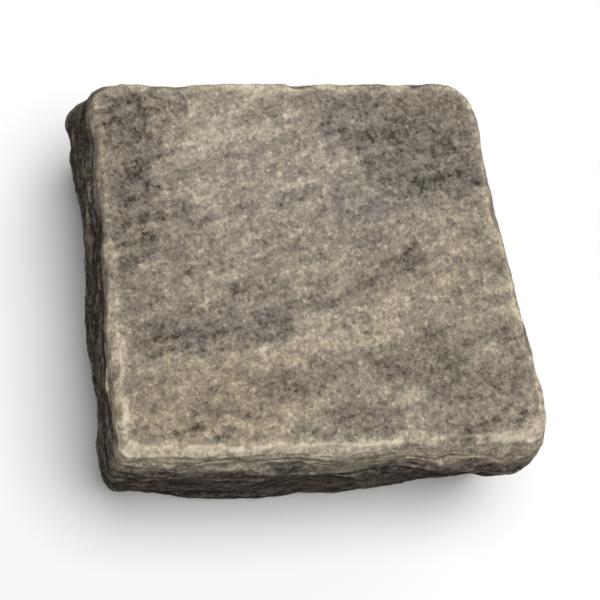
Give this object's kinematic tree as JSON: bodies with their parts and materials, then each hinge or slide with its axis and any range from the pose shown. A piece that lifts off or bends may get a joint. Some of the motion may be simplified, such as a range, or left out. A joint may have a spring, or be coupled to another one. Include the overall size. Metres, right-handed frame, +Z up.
{
  "type": "sandstone cobblestone",
  "caption": "Hand-cropped sandstone paving sett: a flat worn wearing face over split walls that swell below the arris and draw in to a flat bed, with shell-shaped scars and chipped edges.",
  "frame": {"origin": "Middle of the footprint's bounding box, at the level of the bed that the stone lies on.", "axes": "+X runs to the right along the front wall, +Y from the front wall to the back, +Z up out of the wearing face."},
  "size_m": [0.1511, 0.1364, 0.06],
  "materials": {
    "sandstone": "tumbled and split, matt, with fine grain and drifting tan and grey-brown bands"
  },
  "bodies": {
    "root": {"cobblestone": "sandstone"}
  },
  "joints": []
}
